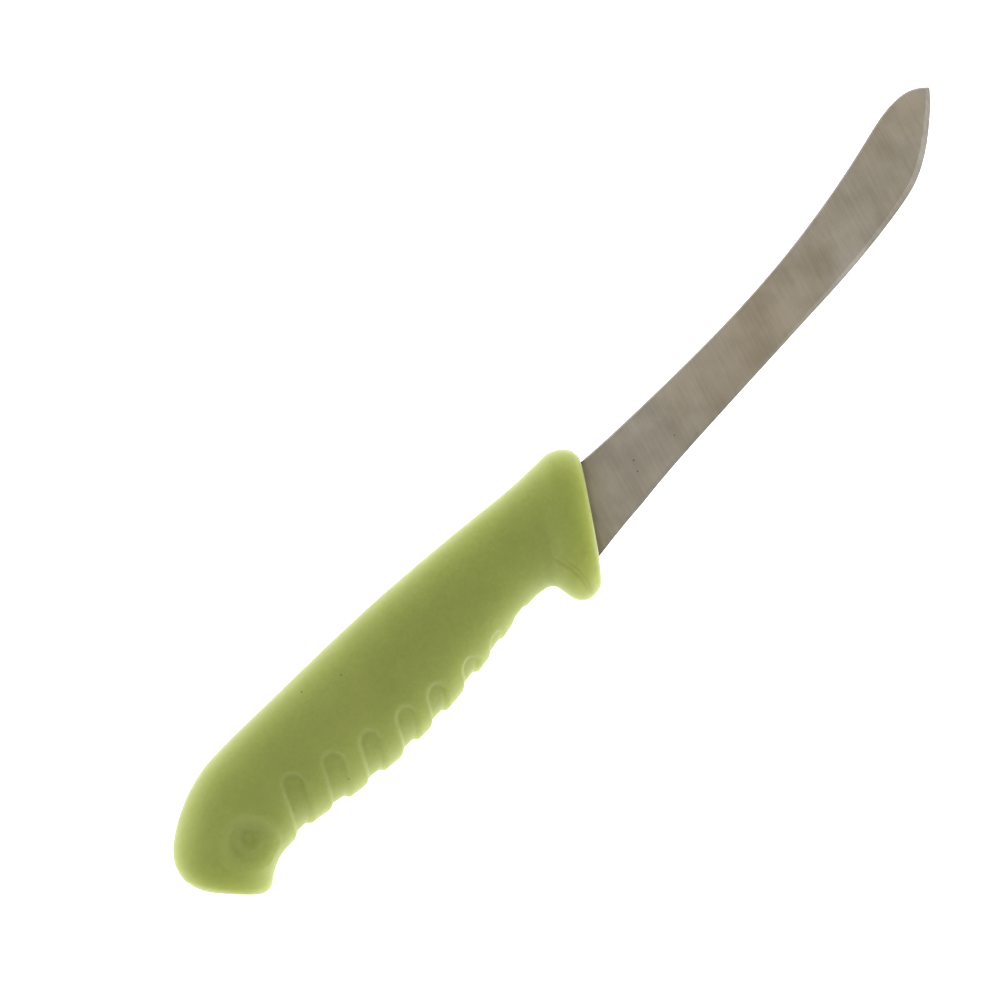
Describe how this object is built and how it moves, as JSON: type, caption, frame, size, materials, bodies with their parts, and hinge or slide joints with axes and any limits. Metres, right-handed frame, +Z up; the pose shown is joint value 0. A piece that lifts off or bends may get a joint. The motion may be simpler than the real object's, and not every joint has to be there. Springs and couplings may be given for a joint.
{
  "type": "uncapping knife",
  "caption": "Beekeeper's uncapping knife: an upswept, thin-ground steel blade for slicing wax cappings, in a soft moulded handle with grip recesses and a finger guard.",
  "frame": {"origin": "bottom centre of the knife's bounding box, on the surface that the knife lies on", "axes": "+X along the knife from the butt to the tip, +Y across the blade from the cutting edge to the spine, +Z up, square to the flat of the blade"},
  "size_m": [0.2714, 0.0373, 0.024],
  "materials": {
    "blade_steel": "finely ground across the blade",
    "grip_elastomer": "matt, slightly translucent yellow-green",
    "core_plastic": "matt yellow-green"
  },
  "bodies": {
    "root": {"blade": "blade_steel", "grip": "grip_elastomer", "handle_core": "core_plastic"}
  },
  "joints": []
}
